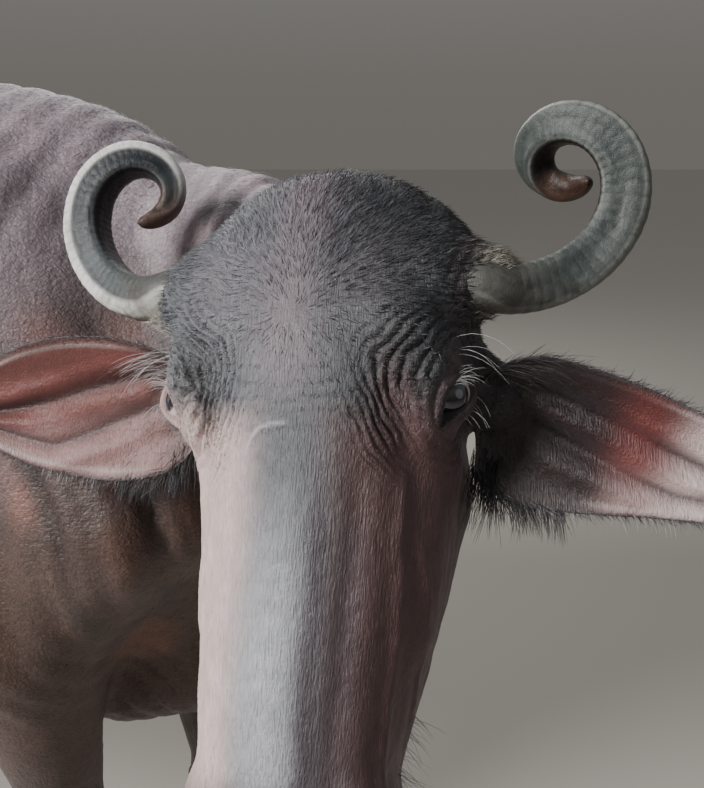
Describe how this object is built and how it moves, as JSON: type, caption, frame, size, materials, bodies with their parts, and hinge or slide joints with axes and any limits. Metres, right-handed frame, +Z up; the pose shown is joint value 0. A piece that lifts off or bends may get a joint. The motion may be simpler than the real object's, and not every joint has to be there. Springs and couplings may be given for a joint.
{
  "type": "water buffalo",
  "caption": "Life-size standing water buffalo cow with coiled horns, head lowered and turned to its right side, mauve-grey wrinkled hide",
  "frame": {"origin": "on the floor, below the middle of the animal's bounding box", "axes": "+X from tail to chest, +Y to the animal's left, +Z up; the head is turned to the animal's right, towards -Y"},
  "size_m": [2.1127, 0.9463, 1.3829],
  "materials": {
    "hide": "thin short grey-black hair over wrinkled mauve-brown hide, satin",
    "ear_skin": "bare red-brown and pink skin inside, grey hair outside",
    "long_hair": "coarse black hair in locks",
    "horn": "grey-green horn with pale worn ridges and growth rings, half gloss",
    "eye": "wet dark blue-black eyeball with pinkish white",
    "claw": "matte grey-black hoof horn with fine rings"
  },
  "bodies": {
    "root": {"head": "hide", "neck": "hide", "trunk": "hide", "tail": "hide", "tail_switch": "long_hair", "udder": "hide", "foreleg_left": "hide", "foreleg_right": "hide", "hindleg_left": "hide", "hindleg_right": "hide", "ear_left": "ear_skin", "ear_right": "ear_skin", "eye_left": "eye", "eye_right": "eye", "horn_left": "horn", "horn_right": "horn", "claw_foreleg_left_outer": "claw", "claw_foreleg_left_inner": "claw", "dewclaw_foreleg_left_outer": "claw", "dewclaw_foreleg_left_inner": "claw", "claw_foreleg_right_outer": "claw", "claw_foreleg_right_inner": "claw", "dewclaw_foreleg_right_outer": "claw", "dewclaw_foreleg_right_inner": "claw", "claw_hindleg_left_outer": "claw", "claw_hindleg_left_inner": "claw", "dewclaw_hindleg_left_outer": "claw", "dewclaw_hindleg_left_inner": "claw", "claw_hindleg_right_outer": "claw", "claw_hindleg_right_inner": "claw", "dewclaw_hindleg_right_outer": "claw", "dewclaw_hindleg_right_inner": "claw"}
  },
  "joints": []
}
